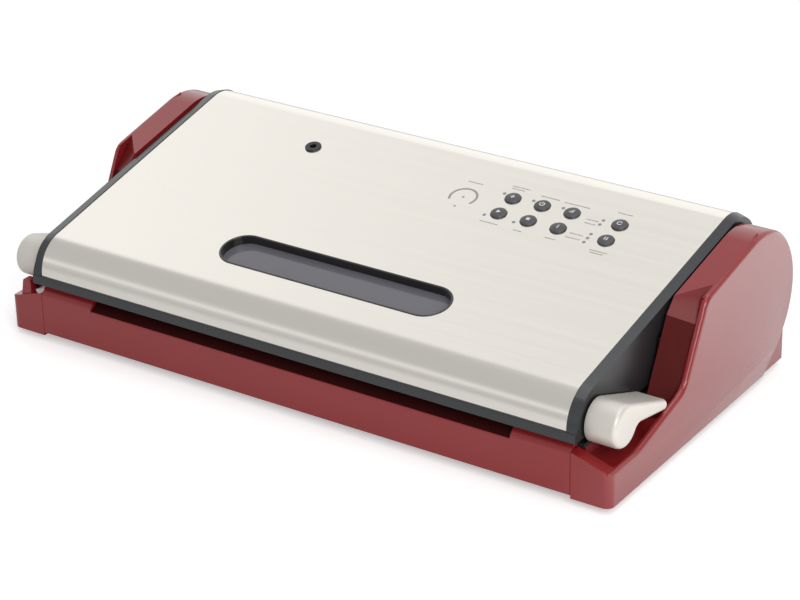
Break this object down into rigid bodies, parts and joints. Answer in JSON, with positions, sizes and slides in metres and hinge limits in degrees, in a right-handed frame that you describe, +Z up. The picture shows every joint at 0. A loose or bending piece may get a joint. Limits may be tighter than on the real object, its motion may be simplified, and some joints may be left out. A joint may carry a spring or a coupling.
{
  "type": "vacuum sealer",
  "caption": "Domestic bag vacuum sealer: low sloping brushed steel lid with a long window and push buttons, dark red base with side towers, lock levers at both ends of the lid nose.",
  "frame": {"origin": "under the middle of the machine, on the plane the feet stand on", "axes": "+X to the user's right along the sealing bar, +Y to the hinge at the rear, +Z up"},
  "size_m": [0.41, 0.2131, 0.0984],
  "materials": {
    "housing": "gloss dark red",
    "inner_plastic": "fine texture, black",
    "slate_plastic": "gloss slate grey",
    "rubber": "matt black",
    "pad": "matt red-brown silicone",
    "steel_cover": "brushed across the width",
    "zinc_steel": "zinc plated",
    "aluminium": "extruded",
    "heater": "plain",
    "tape": "woven, brown",
    "core": "laminated",
    "board": "green lacquer",
    "parts": "moulded",
    "brass": "polished",
    "clear": "clear",
    "smoked": "smoked clear",
    "pipe": "milky clear",
    "pale_plastic": "natural",
    "lever": "silver lacquer"
  },
  "bodies": {
    "base": {"bottom_pan": "housing", "front_apron": "housing", "left_cheek": "housing", "right_cheek": "housing", "chamber_deck": "inner_plastic", "rear_deck": "inner_plastic", "rear_cover": "housing", "feet": "rubber", "base_screws": "zinc_steel", "hinge_pins": "zinc_steel", "lower_gasket": "rubber", "sealing_bar": "aluminium", "heating_element": "heater", "release_tape": "tape", "strikes": "zinc_steel", "pump_bracket": "zinc_steel", "motor_can": "zinc_steel", "pump_head": "slate_plastic", "vacuum_hose": "rubber", "release_valve": "pale_plastic", "power_board": "board", "transformer": "core", "board_parts": "parts", "power_inlet": "inner_plastic", "inlet_pins": "brass", "lid_switch": "inner_plastic"},
    "lid": {"lid_frame": "slate_plastic", "lid_cover": "steel_cover", "chamber_liner": "inner_plastic", "lid_rear_tray": "inner_plastic", "viewing_pane": "clear", "upper_gasket": "rubber", "pressure_strip": "pad", "window_bezel": "inner_plastic", "window_lens": "smoked", "accessory_port": "inner_plastic", "port_hose": "rubber", "control_board": "board", "button_switches": "parts", "light_pipes": "pipe", "lid_screws": "zinc_steel"},
    "lock": {"lock_shaft": "zinc_steel", "lock_hooks": "zinc_steel", "left_lever": "lever", "right_lever": "lever"},
    "button_1": {"button_1": "slate_plastic"},
    "button_2": {"button_2": "slate_plastic"},
    "button_3": {"button_3": "slate_plastic"},
    "button_4": {"button_4": "slate_plastic"},
    "button_5": {"button_5": "slate_plastic"},
    "button_6": {"button_6": "slate_plastic"},
    "button_7": {"button_7": "slate_plastic"},
    "button_8": {"button_8": "slate_plastic"},
    "rotor": {"motor_rotor": "core"}
  },
  "joints": [
    {"name": "lid_hinge", "type": "hinge", "parent": "base", "child": "lid", "pos_m": [0, 0.07215, 0.074], "axis": [-1, 0, 0], "range_deg": [0, 75]},
    {"name": "lock_turn", "type": "hinge", "parent": "lid", "child": "lock", "pos_m": [0, -0.08435, 0.0445], "axis": [1, 0, 0], "range_deg": [0, 65]},
    {"name": "button_1_press", "type": "slide", "parent": "lid", "child": "button_1", "axis": [0, 0.2037, -0.979], "range_m": [0, 0.001], "stiffness_N_per_m": 300, "springref_m": -0.0006},
    {"name": "button_2_press", "type": "slide", "parent": "lid", "child": "button_2", "axis": [0, 0.2037, -0.979], "range_m": [0, 0.001], "stiffness_N_per_m": 300, "springref_m": -0.0006},
    {"name": "button_3_press", "type": "slide", "parent": "lid", "child": "button_3", "axis": [0, 0.2037, -0.979], "range_m": [0, 0.001], "stiffness_N_per_m": 300, "springref_m": -0.0006},
    {"name": "button_4_press", "type": "slide", "parent": "lid", "child": "button_4", "axis": [0, 0.2037, -0.979], "range_m": [0, 0.001], "stiffness_N_per_m": 300, "springref_m": -0.0006},
    {"name": "button_5_press", "type": "slide", "parent": "lid", "child": "button_5", "axis": [0, 0.2037, -0.979], "range_m": [0, 0.001], "stiffness_N_per_m": 300, "springref_m": -0.0006},
    {"name": "button_6_press", "type": "slide", "parent": "lid", "child": "button_6", "axis": [0, 0.2037, -0.979], "range_m": [0, 0.001], "stiffness_N_per_m": 300, "springref_m": -0.0006},
    {"name": "button_7_press", "type": "slide", "parent": "lid", "child": "button_7", "axis": [0, 0.2037, -0.979], "range_m": [0, 0.001], "stiffness_N_per_m": 300, "springref_m": -0.0006},
    {"name": "button_8_press", "type": "slide", "parent": "lid", "child": "button_8", "axis": [0, 0.2037, -0.979], "range_m": [0, 0.001], "stiffness_N_per_m": 300, "springref_m": -0.0006},
    {"name": "rotor_spin", "type": "hinge", "parent": "base", "child": "rotor", "pos_m": [-0.079, 0.01715, 0.03], "axis": [1, 0, 0], "continuous": true}
  ]
}
